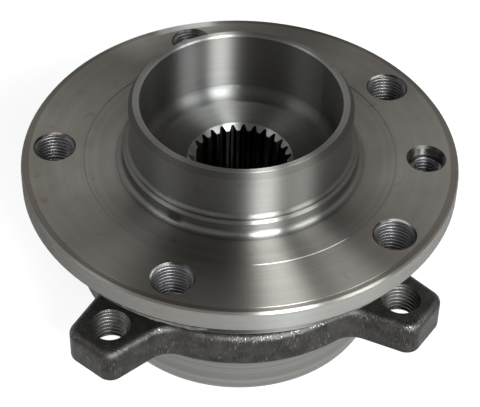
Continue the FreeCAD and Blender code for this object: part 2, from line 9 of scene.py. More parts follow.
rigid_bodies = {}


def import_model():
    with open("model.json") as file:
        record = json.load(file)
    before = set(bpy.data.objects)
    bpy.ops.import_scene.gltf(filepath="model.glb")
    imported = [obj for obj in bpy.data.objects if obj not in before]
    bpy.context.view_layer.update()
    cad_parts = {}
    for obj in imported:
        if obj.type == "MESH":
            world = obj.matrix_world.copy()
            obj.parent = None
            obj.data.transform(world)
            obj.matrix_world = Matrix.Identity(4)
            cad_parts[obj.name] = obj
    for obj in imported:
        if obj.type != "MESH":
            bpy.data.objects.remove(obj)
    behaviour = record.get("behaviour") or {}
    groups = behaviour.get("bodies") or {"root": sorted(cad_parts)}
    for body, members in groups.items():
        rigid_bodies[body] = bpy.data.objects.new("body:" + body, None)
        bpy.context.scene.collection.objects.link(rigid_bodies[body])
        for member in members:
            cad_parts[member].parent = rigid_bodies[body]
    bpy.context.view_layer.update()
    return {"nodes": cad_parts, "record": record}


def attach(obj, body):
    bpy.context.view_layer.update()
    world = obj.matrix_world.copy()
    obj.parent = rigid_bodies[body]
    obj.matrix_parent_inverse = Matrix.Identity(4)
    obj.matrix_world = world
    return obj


for stray in list(bpy.data.objects):
    bpy.data.objects.remove(stray)  # the startup cube, lamp and camera
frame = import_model()
scene = bpy.context.scene
scene.view_settings.view_transform = "Standard"
mm = 0.001


# camera

# fitted to the photograph: turns in degrees, focal length and aim in its pixels
photoView = {
    "azimuth": -98.7,
    "elevation": 42.003,
    "roll": 1.3149,
    "distance": 502.65 * mm,
    "focal": 1667.94,
    "aimRight": -0.949,
    "aimDown": -51.064,
    "frameWidth": 480,
    "sensor": 36.0,
    "nearest": 0.01,
    "farthest": 20,
}


def turned(vector, axis, angle):
    return Matrix.Rotation(angle, 3, axis) @ vector


def makeCamera(view):
    elevation = math.radians(view["elevation"])
    back = Vector((0, -math.cos(elevation), math.sin(elevation)))
    forward, right = -back, Vector((1, 0, 0))
    up = right.cross(forward)
    pan = math.atan2(view["aimRight"], view["focal"])
    tilt = math.atan2(view["aimDown"], view["focal"])
    forward, right = turned(forward, up, pan), turned(right, up, pan)
    forward, up = turned(forward, right, tilt), turned(up, right, tilt)
    roll = math.radians(view["roll"])
    across = right * math.cos(roll) + up * math.sin(roll)
    upward = up * math.cos(roll) - right * math.sin(roll)
    pose = Matrix((across, upward, -forward)).transposed().to_4x4()
    pose.translation = back * view["distance"]
    data = bpy.data.cameras.new("photoCamera")
    data.sensor_fit = "HORIZONTAL"
    data.sensor_width = view["sensor"]
    data.lens = view["focal"] * view["sensor"] / view["frameWidth"]
    data.clip_start = view["nearest"]
    data.clip_end = view["farthest"]
    camera = bpy.data.objects.new("photoCamera", data)
    scene.collection.objects.link(camera)
    camera.matrix_world = Matrix.Rotation(math.radians(view["azimuth"] + 90), 4, "Z") @ pose
    scene.camera = camera


makeCamera(photoView)
print("camera done")


# node helpers

def addNode(tree, kind, **settings):
    node = tree.nodes.new(kind)
    for name, value in settings.items():
        setattr(node, name, value)
    return node


def feed(tree, socket, value):
    # a socket is linked, anything else is set as the input's own value
    if isinstance(value, bpy.types.NodeSocket):
        tree.links.new(value, socket)
    elif value is not None:
        socket.default_value = value


def calc(tree, operation, first, second=None, third=None, clamp=False):
    node = addNode(tree, "ShaderNodeMath", operation=operation, use_clamp=clamp)
    for socket, value in zip(node.inputs, (first, second, third)):
        feed(tree, socket, value)
    return node.outputs[0]


def vectorCalc(tree, operation, first, second=None):
    node = addNode(tree, "ShaderNodeVectorMath", operation=operation)
    feed(tree, node.inputs[0], first)
    feed(tree, node.inputs[1], second)
    return node.outputs["Vector"]


def mixColour(tree, mask, first, second, blend="MIX"):
    # the Mix node numbers its inputs by type: 6 and 7 are colours, 2 and 3 plain values
    node = addNode(tree, "ShaderNodeMix", data_type="RGBA", blend_type=blend)
    feed(tree, node.inputs["Factor"], mask)
    feed(tree, node.inputs[6], first if isinstance(first, bpy.types.NodeSocket) else (*first, 1))
    feed(tree, node.inputs[7], second if isinstance(second, bpy.types.NodeSocket) else (*second, 1))
    return node.outputs[2]


def mixValue(tree, mask, first, second):
    node = addNode(tree, "ShaderNodeMix", data_type="FLOAT")
    feed(tree, node.inputs["Factor"], mask)
    feed(tree, node.inputs[2], first)
    feed(tree, node.inputs[3], second)
    return node.outputs[0]


def spread(tree, value, low, high, toLow=0.0, toHigh=1.0):
    node = addNode(tree, "ShaderNodeMapRange", interpolation_type="SMOOTHSTEP")
    for number, given in enumerate((value, low, high, toLow, toHigh)):
        feed(tree, node.inputs[number], given)
    return node.outputs[0]


def noise(tree, vector, scale, detail=2.0, rough=0.5, dimensions="3D", along=None):
    node = addNode(tree, "ShaderNodeTexNoise", noise_dimensions=dimensions)
    if dimensions != "1D":
        feed(tree, node.inputs["Vector"], vector)
    if along is not None:
        feed(tree, node.inputs["W"], along)
    feed(tree, node.inputs["Scale"], scale)
    feed(tree, node.inputs["Detail"], detail)
    feed(tree, node.inputs["Roughness"], rough)
    return node.outputs[0]


def combine(tree, x, y, z):
    node = addNode(tree, "ShaderNodeCombineXYZ")
    for socket, value in zip(node.inputs, (x, y, z)):
        feed(tree, socket, value)
    return node.outputs[0]


def scaled(tree, colour, factor):
    return mixColour(tree, 1.0, colour, combine(tree, factor, factor, factor), "MULTIPLY")


def startGroup(name, inputs, outputs):
    group = bpy.data.node_groups.new(name, "ShaderNodeTree")
    for label, kind, value in inputs:
        socket = group.interface.new_socket(label, in_out="INPUT", socket_type="NodeSocket" + kind)
        if value is not None:
            socket.default_value = value
    for label, kind in outputs:
        group.interface.new_socket(label, in_out="OUTPUT", socket_type="NodeSocket" + kind)
    return group, addNode(group, "NodeGroupInput").outputs, addNode(group, "NodeGroupOutput").inputs


def useGroup(tree, group, **values):
    node = addNode(tree, "ShaderNodeGroup", node_tree=group)
    for label, value in values.items():
        feed(tree, node.inputs[label], value)
    return node.outputs


# shared effects

def makeAxisPlace():
    # distance from the spin axis and height above the wheel face in mm, and turn about the axis
    group, given, result = startGroup(
        "axisPlace", [("Vector", "Vector", None)],
        [("Radius", "Float"), ("Height", "Float"), ("Turn", "Float")])
    parts = addNode(group, "ShaderNodeSeparateXYZ")
    feed(group, parts.inputs[0], given["Vector"])
    x, y, z = parts.outputs
    squares = calc(group, "ADD", calc(group, "MULTIPLY", x, x), calc(group, "MULTIPLY", y, y))
    radius = calc(group, "SQRT", squares)
    feed(group, result["Radius"], calc(group, "MULTIPLY", radius, 1 / mm))
    feed(group, result["Height"], calc(group, "MULTIPLY", z, 1 / mm))
    feed(group, result["Turn"], calc(group, "ARCTAN2", y, x))
    return group


def makeBandMask():
    # 1 between two values, with soft sides
    group, given, result = startGroup(
        "bandMask", [("Value", "Float", 0.0), ("From", "Float", 0.0), ("To", "Float", 1.0),
                     ("Soft", "Float", 0.05)], [("Mask", "Float")])
    soft = given["Soft"]
    rise = spread(group, given["Value"], calc(group, "SUBTRACT", given["From"], soft),
                  calc(group, "ADD", given["From"], soft))
    fall = spread(group, given["Value"], calc(group, "SUBTRACT", given["To"], soft),
                  calc(group, "ADD", given["To"], soft), 1.0, 0.0)
    feed(group, result["Mask"], calc(group, "MULTIPLY", rise, fall))
    return group


def makeTurningMarks():
    # rings left by the lathe tool: fine feed marks, and broader bands that drift round the part;
    # Feed and Band are their spacing in mm
    group, given, result = startGroup(
        "turningMarks", [("Vector", "Vector", None), ("Radius", "Float", 0.0),
                         ("Height", "Float", 0.0), ("Feed", "Float", 0.3),
                         ("Band", "Float", 2.5)], [("Fine", "Float"), ("Broad", "Float")])
    heightShare, driftScale, driftReach = 1.37, 28.0, 0.9
    along = calc(group, "ADD", given["Radius"],
                 calc(group, "MULTIPLY", given["Height"], heightShare))
    fine = noise(group, None, 1.0, detail=3.0, rough=0.65, dimensions="1D",
                 along=calc(group, "DIVIDE", along, given["Feed"]))
    drift = calc(group, "MULTIPLY", noise(group, given["Vector"], driftScale), driftReach)
    broadAt = calc(group, "ADD", calc(group, "DIVIDE", along, given["Band"]), drift)
    broad = noise(group, None, 1.0, rough=0.55, dimensions="1D", along=broadAt)
    feed(group, result["Fine"], spread(group, fine, 0.28, 0.72))
    feed(group, result["Broad"], spread(group, broad, 0.3, 0.7))
    return group


def makeStains():
    # soft oil and handling marks: clouds about Size mm across, with small spots inside
    group, given, result = startGroup(
        "stains", [("Vector", "Vector", None), ("Size", "Float", 12.0), ("Spots", "Float", 0.35)],
        [("Cloud", "Float"), ("Spot", "Float")])
    spotsAcross = 5.0
    scale = calc(group, "DIVIDE", 1 / mm, given["Size"])
    cloud = noise(group, given["Vector"], scale, detail=3.0, rough=0.6)
    small = noise(group, given["Vector"], calc(group, "MULTIPLY", scale, spotsAcross))
    spot = calc(group, "MULTIPLY", spread(group, small, 0.66, 0.76), given["Spots"])
    feed(group, result["Cloud"], spread(group, cloud, 0.35, 0.7))
    feed(group, result["Spot"], spot)
    return group


def makeForgingGrain():
    # scale, shot marks and fine upright draw marks of a forged skin, with grains of Grain mm
    group, given, result = startGroup(
        "forgingGrain", [("Vector", "Vector", None), ("Grain", "Float", 0.7),
                         ("Draw", "Float", 0.2)],
        [("Height", "Float"), ("Shade", "Float"), ("Sparkle", "Float")])
    cloudScale, fineScale, patchScale = 0.1, 0.9, 0.08
    streakHeight, fineHeight = 0.55, 0.45
    scale = calc(group, "DIVIDE", 1 / mm, given["Grain"])
    cloud = noise(group, given["Vector"], calc(group, "MULTIPLY", scale, cloudScale),
                  detail=3.0, rough=0.55)
    fine = noise(group, given["Vector"], calc(group, "MULTIPLY", scale, fineScale),
                 detail=3.0, rough=0.65)
    drawn = vectorCalc(group, "MULTIPLY", given["Vector"],
                       combine(group, 1.0, 1.0, given["Draw"]))
    streak = noise(group, drawn, scale, rough=0.6)
    patch = noise(group, given["Vector"], calc(group, "MULTIPLY", scale, patchScale))
    height = calc(group, "ADD", calc(group, "MULTIPLY", streak, streakHeight),
                  calc(group, "MULTIPLY", fine, fineHeight))
    cloudPart, finePart, streakPart = [
        calc(group, "MULTIPLY", spread(group, layer, 0.3, 0.7), share)
        for layer, share in ((cloud, 0.45), (fine, 0.25), (streak, 0.3))]
    feed(group, result["Height"], height)
    feed(group, result["Shade"],
         calc(group, "ADD", cloudPart, calc(group, "ADD", finePart, streakPart)))
    bright = spread(group, streak, 0.58, 0.68)
    feed(group, result["Sparkle"],
         calc(group, "MULTIPLY", bright, spread(group, patch, 0.45, 0.62)))
    return group


axisPlace = makeAxisPlace()
bandMask = makeBandMask()
turningMarks = makeTurningMarks()
stains = makeStains()
forgingGrain = makeForgingGrain()


def startMaterial(name):
    material = bpy.data.materials.new(name)
    material.use_nodes = True
    tree = material.node_tree
    tree.nodes.clear()
    output = addNode(tree, "ShaderNodeOutputMaterial")
    shader = addNode(tree, "ShaderNodeBsdfPrincipled")
    tree.links.new(shader.outputs[0], output.inputs["Surface"])
    coordinates = addNode(tree, "ShaderNodeTexCoord")
    return material, tree, shader, coordinates.outputs


def inBand(tree, value, low, high, soft):
    return useGroup(tree, bandMask, Value=value, From=low, To=high, Soft=soft)["Mask"]


def turnedMarks(tree, where, place, feedStep, band):
    return useGroup(tree, turningMarks, Vector=where["Object"], Radius=place["Radius"],
                    Height=place["Height"], Feed=feedStep, Band=band)


def setShader(tree, shader, **values):
    for name, value in values.items():
        socket = shader.inputs[name.replace("_", " ")]
        if isinstance(value, tuple) and len(value) == 3 and socket.type == "RGBA":
            value = (*value, 1)
        feed(tree, socket, value)


def bumpFrom(tree, height, strength, distance, normal=None):
    node = addNode(tree, "ShaderNodeBump")
    feed(tree, node.inputs["Height"], height)
    node.inputs["Strength"].default_value = strength
    node.inputs["Distance"].default_value = distance
    if normal is not None:
        feed(tree, node.inputs["Normal"], normal)
    return node.outputs[0]


def roundTangent(tree):
    node = addNode(tree, "ShaderNodeTangent", direction_type="RADIAL", axis="Z")
    return node.outputs[0]


# turned steel of the wheel hub

hubLook = {
    "face": (0.212, 0.199, 0.18),
    "rough": 0.35,
    "metal": 1.0,
    "anisotropic": 1.0,
    "brushTurn": 0.25,
    "grazing": (0.35, 0.35, 0.35),
    "zones": [
        # radius from and to, height from and to in mm, colour, roughness, metal
        (36.0, 47.05, -0.5, -0.05, (0.208, 0.196, 0.178), 0.35, 1.0),  # face inside the fine step
        (63.4, 65.15, -0.6, 0.2, (0.156, 0.143, 0.127), 0.36, 1.0),  # rounded edge of the face
        (65.0, 67.0, -7.2, -0.9, (0.09, 0.088, 0.083), 0.6, 0.35),  # rim of the flange
        # painted shade on the rim's down-facing lower edge
        (65.0, 67.0, -7.6, -6.65, (0.03, 0.029, 0.027), 0.6, 1.0),  # rim's lower edge
        (30.2, 32.1, 20.9, 22.0, (0.18, 0.176, 0.165), 0.4, 1.0),  # top ring of the pilot
        # painted highlight along the top ring's inner edge
        (29.8, 30.5, 20.5, 22.0, (0.22, 0.22, 0.213), 0.4, 1.0),  # top ring's inner edge
        (31.0, 34.2, 6.2, 21.0, (0.092, 0.091, 0.087), 0.55, 1.0),  # wall of the pilot
        (31.0, 35.9, 4.0, 6.2, (0.13, 0.127, 0.12), 0.36, 1.0),  # step at the pilot's foot
        (33.3, 35.9, 1.6, 4.1, (0.073, 0.072, 0.068), 0.48, 1.0),  # disc pilot
        (33.3, 37.6, -0.5, 1.6, (0.15, 0.147, 0.14), 0.33, 1.0),  # fillet down to the face
        # painted shade darkens the cup's wall; its floor and the fillet are painted lighter to lift
        # their highlights
        (0.0, 30.1, -2.2, 20.5, (0.085, 0.085, 0.083), 0.44, 1.0),  # wall of the cup
        (14.0, 26.0, -2.2, -1.7, (0.115, 0.112, 0.106), 0.66, 1.0),  # floor of the cup
        (26.2, 30.1, -2.2, 1.6, (0.125, 0.124, 0.12), 0.42, 1.0),  # fillet between them
        # painted shade: the deep splined bore is darkened nearly to black
        (0.0, 16.0, -70.0, -2.05, (0.008, 0.008, 0.008), 0.4, 1.0),  # splined bore
        # painted shade under the flange
        (30.0, 66.0, -14.5, -7.2, (0.05, 0.047, 0.044), 0.5, 1.0),  # back of the flange
        (16.0, 50.0, -70.0, -14.2, (0.4, 0.4, 0.39), 0.35, 1.0),  # ground seats and collar
    ],
    "zoneEdge": 0.06,
    # painted highlights on the fine step's lip and on a polished patch, and a real oil stain
    "glintsAndOil": [
        # radius from and to, height from and to, first and last turn in degrees, colour
        (47.0, 47.45, -0.3, 0.1, -92.8, -58.0, (0.75, 0.75, 0.73)),  # lip of the fine step
        (62.3, 65.0, -0.5, 0.1, 90.0, 107.0, (0.4, 0.395, 0.38)),  # patch by the far hole
        (33.5, 35.7, 0.2, 3.6, -134.0, -126.5, (0.04, 0.034, 0.028)),  # oil on the disc pilot
    ],
    "glintAndOilEdge": 0.08,
    "glintAndOilEnd": 2.0,
    # bands go from and to, then the width of their soft sides
    "holeCircle": (47.6, 63.2, 0.1),
    "holeDepth": (-12.3, 0.1, 0.02),
    "holeFacing": (0.9, 0.98),
    # painted shade in the holes' mouths and walls
    "holeShade": (0.07, 0.069, 0.066),
    "holeRough": 0.45,
    "splineDepth": (-4.2, -2.02, 0.05),
    "splineFacing": (0.45, 0.6),
    # painted light on the spline's up-facing mouth
    "splineLitMouth": (0.3, 0.3, 0.29),
    "feed": 0.28,
    "band": 2.6,
    "broadShade": (0.96, 1.04),
    "fineShade": (0.97, 1.03),
    "fineRough": (-0.02, 0.02),
    "fineRelief": 0.9,
    "broadRelief": 0.1,
    "oil": (0.115, 0.096, 0.076),
    "oilShare": 0.26,
    "oilSize": 26.0,
    "oilRough": 0.05,
    "spot": (0.06, 0.05, 0.04),
    "spotShare": 0.5,
    "bump": 0.12,
    "markDepth": 0.00002,
}


def makeHubSteel(look):
    material, tree, shader, where = startMaterial("machinedHubSteel")
    place = useGroup(tree, axisPlace, Vector=where["Object"])

    def zone(low, high, bottom, top, soft):
        return calc(tree, "MULTIPLY", inBand(tree, place["Radius"], low, high, soft),
                    inBand(tree, place["Height"], bottom, top, soft))

    colour, rough, metal = look["face"], look["rough"], look["metal"]
    for low, high, bottom, top, zoneColour, zoneRough, zoneMetal in look["zones"]:
        mask = zone(low, high, bottom, top, look["zoneEdge"])
        colour = mixColour(tree, mask, colour, zoneColour)
        rough = mixValue(tree, mask, rough, zoneRough)
        metal = mixValue(tree, mask, metal, zoneMetal)
    # marks painted into the colour: painted highlights where the lamps glint on the fine step's lip
    # and on a polished patch by the far hole, and a real oil stain on the disc pilot
    degrees = calc(tree, "MULTIPLY", place["Turn"], math.degrees(1))
    for low, high, bottom, top, first, last, glintAndOilColour in look["glintsAndOil"]:
        mask = calc(tree, "MULTIPLY", zone(low, high, bottom, top, look["glintAndOilEdge"]),
                    inBand(tree, degrees, first, last, look["glintAndOilEnd"]))
        colour = mixColour(tree, mask, colour, glintAndOilColour)
    # painted shade: the cut mouths and walls of the holes, which don't face up, are darkened
    direction = addNode(tree, "ShaderNodeSeparateXYZ")
    feed(tree, direction.inputs[0], where["Normal"])
    upward = direction.outputs[2]
    holes = calc(tree, "MULTIPLY", inBand(tree, place["Radius"], *look["holeCircle"]),
                 inBand(tree, place["Height"], *look["holeDepth"]))
    cut = calc(tree, "MULTIPLY", holes, spread(tree, upward, *look["holeFacing"], 1.0, 0.0))
    colour = mixColour(tree, cut, colour, look["holeShade"])
    rough = mixValue(tree, cut, rough, look["holeRough"])
    # painted light: the cut mouth of the spline faces up and is lighter, its tooth spaces don't and
    # keep the bore's painted shade
    mouth = calc(tree, "MULTIPLY", inBand(tree, place["Height"], *look["splineDepth"]),
                 spread(tree, upward, *look["splineFacing"]))
    colour = mixColour(tree, mouth, colour, look["splineLitMouth"])
    marks = turnedMarks(tree, where, place, look["feed"], look["band"])
    dirt = useGroup(tree, stains, Vector=where["Object"], Size=look["oilSize"],
                    Spots=look["spotShare"])
    colour = scaled(tree, colour, spread(tree, marks["Broad"], 0.0, 1.0, *look["broadShade"]))
    colour = scaled(tree, colour, spread(tree, marks["Fine"], 0.0, 1.0, *look["fineShade"]))
    colour = mixColour(tree, calc(tree, "MULTIPLY", dirt["Cloud"], look["oilShare"]), colour,
                       look["oil"])
    colour = mixColour(tree, calc(tree, "MULTIPLY", dirt["Spot"], look["spotShare"]), colour,
                       look["spot"])
    rough = calc(tree, "ADD", rough, spread(tree, marks["Fine"], 0.0, 1.0, *look["fineRough"]))
    rough = calc(tree, "ADD", rough, calc(tree, "MULTIPLY", dirt["Cloud"], look["oilRough"]))
    relief = calc(tree, "ADD", calc(tree, "MULTIPLY", marks["Fine"], look["fineRelief"]),
                  calc(tree, "MULTIPLY", marks["Broad"], look["broadRelief"]))
    setShader(tree, shader, Base_Color=colour, Roughness=rough, Metallic=metal,
              Anisotropic=look["anisotropic"], Anisotropic_Rotation=look["brushTurn"],
              Specular_Tint=look["grazing"], Tangent=roundTangent(tree),
              Normal=bumpFrom(tree, relief, look["bump"], look["markDepth"]))
    return material


# outer ring: forged knuckle flange, turned spigot and barrel

ringLook = {
    "forged": (0.032, 0.0303, 0.028),
    "forgedRough": 0.5,
    # colour of the grains painted bright as glints
    "glint": (0.3, 0.29, 0.27),
    "glintRough": 0.25,
    "glintOnSlant": 0.45,
    "glintAnywhere": 0.3,
    # bands go from and to, then the width of their soft sides
    "slant": (0.25, 0.92, 0.12),
    "grain": 0.42,
    "draw": 0.22,
    "shadeLow": 0.5,
    "shadeRange": 1.5,
    "lumps": 0.8,
    "lumpDepth": 0.0002,
    "flangeHeights": (-39.1, -27.4, 0.15),
    "flangeRadii": (43.3, 90.0, 0.3),
    "turned": (0.178, 0.177, 0.162),
    "turnedRough": 0.5,
    "feed": 0.25,
    "band": 3.0,
    "broadShade": (0.82, 1.12),
    "rings": 0.2,
    "ringDepth": 0.00002,
}


def makeRingSteel(look):
    material, tree, shader, where = startMaterial("forgedRingSteel")
    place = useGroup(tree, axisPlace, Vector=where["Object"])
    grain = useGroup(tree, forgingGrain, Vector=where["Object"], Grain=look["grain"],
                     Draw=look["draw"])
    shade = calc(tree, "MULTIPLY_ADD", grain["Shade"], look["shadeRange"], look["shadeLow"])
    forged = scaled(tree, look["forged"], shade)
    # bright grains of the forged skin, partly a painted highlight: most of them go on the slanting
    # edges, where the lamps glint
    direction = addNode(tree, "ShaderNodeSeparateXYZ")
    feed(tree, direction.inputs[0], where["Normal"])
    slant = inBand(tree, direction.outputs[2], *look["slant"])
    onSlant = calc(tree, "MULTIPLY", slant, look["glintOnSlant"])
    glint = calc(tree, "MULTIPLY", grain["Sparkle"],
                 calc(tree, "ADD", onSlant, look["glintAnywhere"]))
    forged = mixColour(tree, glint, forged, look["glint"])
    # the spigot, the barrel and the bore are turned, the knuckle flange is as forged
    skin = calc(tree, "MULTIPLY", inBand(tree, place["Height"], *look["flangeHeights"]),
                inBand(tree, place["Radius"], *look["flangeRadii"]))
    marks = turnedMarks(tree, where, place, look["feed"], look["band"])
    shine = spread(tree, marks["Broad"], 0.0, 1.0, *look["broadShade"])
    plain = scaled(tree, look["turned"], shine)
    colour = mixColour(tree, skin, plain, forged)
    rough = mixValue(tree, skin, look["turnedRough"], look["forgedRough"])
    rough = calc(tree, "SUBTRACT", rough, calc(tree, "MULTIPLY", glint, look["glintRough"]))
    lumps = calc(tree, "MULTIPLY", grain["Height"], skin)
    rings = calc(tree, "MULTIPLY", marks["Fine"], calc(tree, "SUBTRACT", 1.0, skin))
    normal = bumpFrom(tree, lumps, look["lumps"], look["lumpDepth"],
                      bumpFrom(tree, rings, look["rings"], look["ringDepth"]))
    setShader(tree, shader, Base_Color=colour, Roughness=rough, Metallic=1.0, Normal=normal)
    return material


# hidden steels, plastics and rubbers

plainLooks = {
    "groundBearingSteel": dict(colour=(0.5, 0.5, 0.5), rough=0.22, feed=0.12, band=1.2, lift=0.06),
    "pressedCaseSteel": dict(colour=(0.38, 0.38, 0.38), rough=0.35, feed=0.6, band=4.0, lift=0.12),
    "slingerSteel": dict(colour=(0.5, 0.5, 0.49), rough=0.28, feed=0.5, band=3.0, lift=0.08),
    "ballSteel": dict(colour=(0.72, 0.72, 0.74), rough=0.08, feed=0.9, band=9.0, lift=0.04),
}
plainFinish = {"cloudSize": 9.0, "cloudRough": 0.08, "bump": 0.15, "markDepth": 0.00001}


def makePlainSteel(name):
    look = plainLooks[name]
    material, tree, shader, where = startMaterial(name)
    place = useGroup(tree, axisPlace, Vector=where["Object"])
    marks = turnedMarks(tree, where, place, look["feed"], look["band"])
    dirt = useGroup(tree, stains, Vector=where["Object"], Size=plainFinish["cloudSize"])
    bright = spread(tree, marks["Broad"], 0.0, 1.0, 1.0 - look["lift"], 1.0 + look["lift"])
    rough = calc(tree, "ADD", look["rough"],
                 calc(tree, "MULTIPLY", dirt["Cloud"], plainFinish["cloudRough"]))
    setShader(tree, shader, Base_Color=scaled(tree, look["colour"], bright), Roughness=rough,
              Metallic=1.0, Normal=bumpFrom(tree, marks["Fine"], plainFinish["bump"],
                                            plainFinish["markDepth"]))
    return material


softLooks = {
    "cagePolyamide": dict(colour=(0.02, 0.02, 0.022), pale=(0.05, 0.05, 0.052),
                          rough=0.5, size=1.2),
    "sealRubber": dict(colour=(0.012, 0.012, 0.012), pale=(0.035, 0.034, 0.033),
                       rough=0.62, size=0.8),
    "encoderRubber": dict(colour=(0.02, 0.018, 0.016), pale=(0.045, 0.04, 0.036),
                          rough=0.7, size=0.5),
}
softFinish = {"cloudScale": 0.12, "cloudEdges": (0.3, 0.7), "grainRough": 0.12, "bump": 0.35,
              "grainDepth": 0.00005}


def makeSoft(name):
    look = softLooks[name]
    material, tree, shader, where = startMaterial(name)
    scale = 1 / mm / look["size"]
    fine = noise(tree, where["Object"], scale, detail=3.0, rough=0.6)
    cloud = noise(tree, where["Object"], scale * softFinish["cloudScale"])
    colour = mixColour(tree, spread(tree, cloud, *softFinish["cloudEdges"]), look["colour"],
                       look["pale"])
    rough = calc(tree, "ADD", look["rough"], calc(tree, "MULTIPLY", fine, softFinish["grainRough"]))
    setShader(tree, shader, Base_Color=colour, Roughness=rough,
              Normal=bumpFrom(tree, fine, softFinish["bump"], softFinish["grainDepth"]))
    return material


# cut threads and the torn burr

cutLooks = {
    "wheelThreadSteel": dict(colour=(0.105, 0.1, 0.103), rough=0.33, dark=(0.075, 0.07, 0.072)),
    "knuckleThreadSteel": dict(colour=(0.1, 0.096, 0.09), rough=0.36, dark=(0.06, 0.056, 0.052)),
    "burrSteel": dict(colour=(0.16, 0.153, 0.142), rough=0.55, dark=(0.08, 0.075, 0.068)),
}
cutFinish = {"cloudScale": 320.0, "cloudEdges": (0.4, 0.7), "chatterScale": 1500.0,
             "chatterRough": 0.1, "bump": 0.04, "chatterDepth": 0.00001}


def makeCutSteel(name):
    look = cutLooks[name]
    material, tree, shader, where = startMaterial(name)
    cloud = noise(tree, where["Object"], cutFinish["cloudScale"], detail=3.0, rough=0.6)
    chatter = noise(tree, where["Object"], cutFinish["chatterScale"], rough=0.6)
    colour = mixColour(tree, spread(tree, cloud, *cutFinish["cloudEdges"]), look["colour"],
                       look["dark"])
    rough = calc(tree, "ADD", look["rough"],
                 calc(tree, "MULTIPLY", chatter, cutFinish["chatterRough"]))
    setShader(tree, shader, Base_Color=colour, Roughness=rough, Metallic=1.0,
              Normal=bumpFrom(tree, chatter, cutFinish["bump"], cutFinish["chatterDepth"]))
    return material


looks = {
    "machined_hub_steel": makeHubSteel(hubLook),
    "forged_ring_steel": makeRingSteel(ringLook),
    "ground_bearing_steel": makePlainSteel("groundBearingSteel"),
    "ball_steel": makePlainSteel("ballSteel"),
    "cage_polyamide": makeSoft("cagePolyamide"),
    "pressed_case_steel": makePlainSteel("pressedCaseSteel"),
    "slinger_steel": makePlainSteel("slingerSteel"),
    "seal_rubber": makeSoft("sealRubber"),
    "encoder_rubber": makeSoft("encoderRubber"),
}
for subpart in frame["record"]["subparts"]:
    node = frame["nodes"][subpart["node"]]
    for slot in node.material_slots:
        slot.material = looks[subpart["material_slot"]]
wheelThreadSteel = makeCutSteel("wheelThreadSteel")
knuckleThreadSteel = makeCutSteel("knuckleThreadSteel")
burrSteel = makeCutSteel("burrSteel")
print("materials done")


# threads: a helical sleeve in each tapped hole, made by Geometry Nodes

# sizes in mm and turns in degrees; circle and across give the hole's place, the rest its thread
wheelBolts = dict(circle=56.0, count=5, turn=26.5, outer=6.03, crest=5.32, pitch=1.25,
                  top=-0.42, bottom=-11.95, shift=0.2)
discScrew = dict(circle=56.0, turn=-9.5, outer=4.03, crest=3.32, pitch=1.25,
                 top=-3.17, bottom=-11.95, shift=0.6)
knuckleBolts = dict(acrossX=43.5, acrossY=40.0, outer=6.03, crest=5.19, pitch=1.5,
                    top=-27.45, bottom=-38.72, shift=0.0)
threadSteps = {"round": 96, "profile": 16}
threadProfile = {"crestHalf": 0.125, "flank": 0.3125, "mergeWithin": 0.000004}


